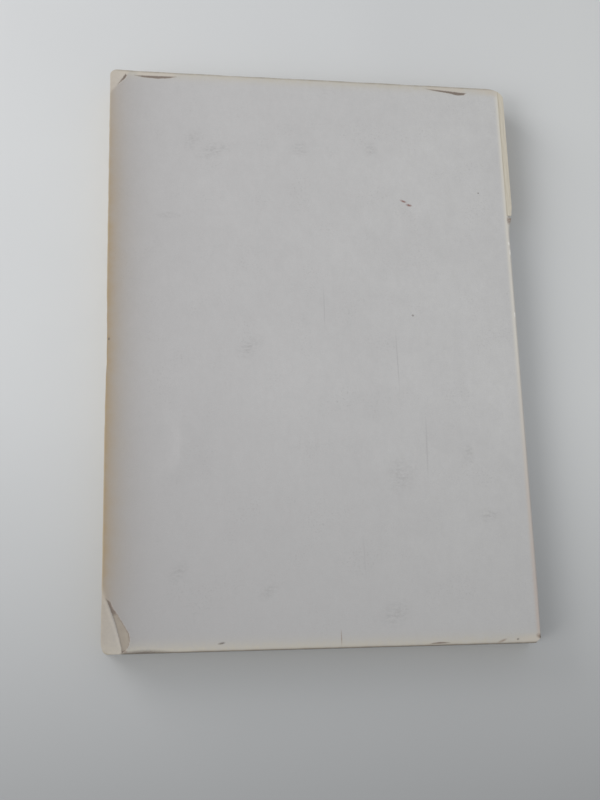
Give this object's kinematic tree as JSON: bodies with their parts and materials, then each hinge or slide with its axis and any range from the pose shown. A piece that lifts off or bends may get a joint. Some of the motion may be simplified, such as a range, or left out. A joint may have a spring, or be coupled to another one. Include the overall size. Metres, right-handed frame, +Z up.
{
  "type": "softcover manual",
  "caption": "Worn softcover A5 manual with a blank card cover, dog-eared corners, split edges and a torn spine strip; both covers open at the spine folds.",
  "frame": {"origin": "under the middle of the closed book, on the surface that it lies on", "axes": "+X from the fore edge to the spine, +Y from the tail to the head, +Z up from the front cover to the back cover"},
  "size_m": [0.1506, 0.21, 0.0135],
  "materials": {
    "pages": "matte, slightly yellowed",
    "binding_glue": "dull amber",
    "cover_card": "smooth matte, soiled along its edges"
  },
  "bodies": {
    "book_block": {"page_block": "pages", "spine_glue": "binding_glue", "spine_cover": "cover_card"},
    "back_cover": {"back_cover": "cover_card"},
    "front_cover": {"front_cover": "cover_card"}
  },
  "joints": [
    {"name": "back_cover_fold", "type": "hinge", "parent": "book_block", "child": "back_cover", "pos_m": [0.0728, 0, 0.012], "axis": [0, 1, 0], "range_deg": [0, 180]},
    {"name": "front_cover_fold", "type": "hinge", "parent": "book_block", "child": "front_cover", "pos_m": [0.07285, 0, 0.00017], "axis": [0, -1, 0], "range_deg": [0, 180]}
  ]
}
